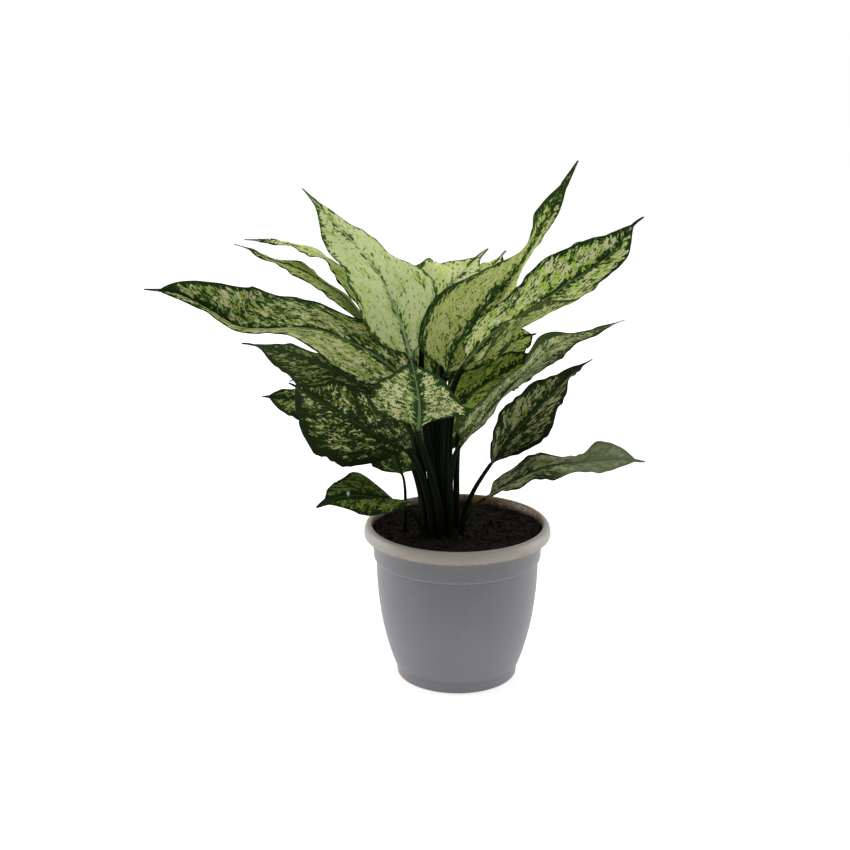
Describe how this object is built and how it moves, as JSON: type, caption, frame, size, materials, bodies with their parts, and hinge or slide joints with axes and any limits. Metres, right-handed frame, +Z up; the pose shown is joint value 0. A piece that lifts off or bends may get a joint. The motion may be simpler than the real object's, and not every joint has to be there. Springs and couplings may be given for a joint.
{
  "type": "potted chinese evergreen",
  "caption": "House plant in a round tapered pot with a rolled rim: broad pointed leaves with pale mottling on slim stalks that stand in dark soil.",
  "frame": {"origin": "middle of the pot's flat foot, on the surface that it stands on", "axes": "+Z up along the pot's axis, -Y towards the viewer of the picture, +X to that viewer's right"},
  "size_m": [0.3834, 0.3804, 0.4114],
  "materials": {
    "pot_plastic": "satin, with faint stains",
    "potting_soil": "crumbly, damp",
    "pale_leaf": "soft gloss, sparse dark specks",
    "mottled_leaf": "soft gloss, cream and green mottling",
    "dark_leaf": "soft gloss, dark green with cream dots"
  },
  "bodies": {
    "root": {"pot": "pot_plastic", "soil": "potting_soil", "leaf_top_left": "pale_leaf", "leaf_tall": "mottled_leaf", "leaf_right_high": "mottled_leaf", "leaf_right_folded": "mottled_leaf", "leaf_right_dark": "dark_leaf", "leaf_right_low": "mottled_leaf", "leaf_left_long": "mottled_leaf", "leaf_front": "mottled_leaf", "leaf_left_narrow": "mottled_leaf", "leaf_left_back": "mottled_leaf", "leaf_back_pale": "pale_leaf", "leaf_back_tip": "mottled_leaf", "leaf_left_middle": "dark_leaf", "leaf_left_tip": "dark_leaf", "leaf_front_left": "dark_leaf", "leaf_left_low": "dark_leaf", "leaf_small": "dark_leaf", "leaf_right_inner": "mottled_leaf", "leaf_right_under": "dark_leaf", "leaf_back_right": "mottled_leaf", "leaf_back_left": "mottled_leaf", "leaf_back_middle": "mottled_leaf", "leaf_back_low": "dark_leaf"}
  },
  "joints": []
}
